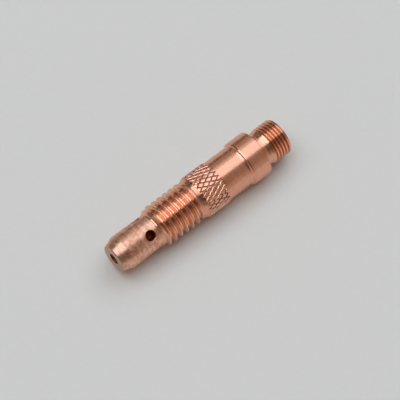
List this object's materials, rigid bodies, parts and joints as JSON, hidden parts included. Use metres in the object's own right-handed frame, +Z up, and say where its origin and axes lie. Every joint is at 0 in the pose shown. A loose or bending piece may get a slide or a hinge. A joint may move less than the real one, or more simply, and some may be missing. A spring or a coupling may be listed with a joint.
{
  "type": "tig torch collet body",
  "caption": "Round turned copper torch body with cross-drilled nose, coarse and fine thread ends, knurled grip and collar; a split collet slides in its bore.",
  "frame": {"origin": "centre of the nose face on the turning axis, where the electrode comes out", "axes": "+X along the turning axis, from the nose to the head thread; +Z up as the part lies on its side"},
  "size_m": [0.0474, 0.0108, 0.0108],
  "materials": {
    "turned_copper": "satin turned copper",
    "collet_copper": "dull drawn copper"
  },
  "bodies": {
    "collet_body": {"collet_body": "turned_copper"},
    "collet": {"collet": "collet_copper"}
  },
  "joints": [
    {"name": "collet_slide", "type": "slide", "parent": "collet_body", "child": "collet", "axis": [1, 0, 0], "range_m": [0, 0.044]}
  ]
}
